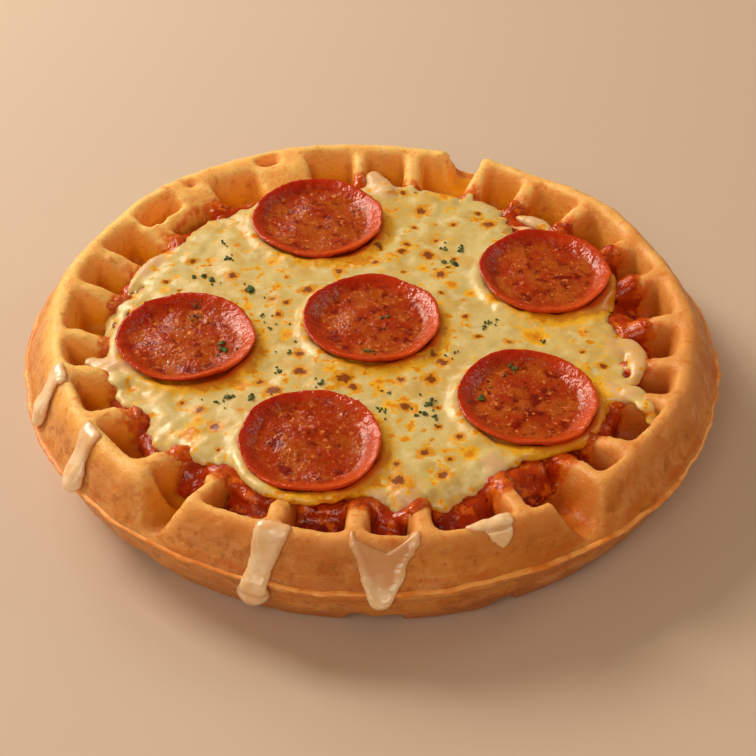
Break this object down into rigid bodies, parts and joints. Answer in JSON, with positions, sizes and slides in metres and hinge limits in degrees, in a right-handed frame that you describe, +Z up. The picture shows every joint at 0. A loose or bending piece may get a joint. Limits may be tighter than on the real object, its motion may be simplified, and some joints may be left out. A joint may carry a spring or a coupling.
{
  "type": "pizza waffle",
  "caption": "Round thick waffle with a deep pocketed rim, covered with tomato sauce and melted cheese, with cured sausage slices, green herb flakes and cheese run over the rim.",
  "frame": {"origin": "middle of the underside, on the plane that the waffle rests on", "axes": "+Z up through the toppings, -Y towards the viewer, +X to the right as seen in the picture"},
  "size_m": [0.1804, 0.1816, 0.0309],
  "materials": {
    "waffle": "baked golden crust, matt with a faint oily sheen",
    "tomato_sauce": "wet glossy sauce",
    "cheese": "melted, satin, with browned spots",
    "pepperoni": "oily, marbled",
    "cheese_drip": "smooth cream, satin and a little translucent",
    "herbs": "matt dried leaf"
  },
  "bodies": {
    "root": {"waffle": "waffle", "tomato_sauce": "tomato_sauce", "cheese": "cheese", "pepperoni_centre": "pepperoni", "pepperoni_back_left": "pepperoni", "pepperoni_left": "pepperoni", "pepperoni_front": "pepperoni", "pepperoni_front_right": "pepperoni", "pepperoni_back_right": "pepperoni", "cheese_drip_left": "cheese_drip", "cheese_drip_front_left": "cheese_drip", "cheese_drip_front": "cheese_drip", "cheese_drip_fan": "cheese_drip", "cheese_drip_small": "cheese_drip"}
  },
  "joints": []
}
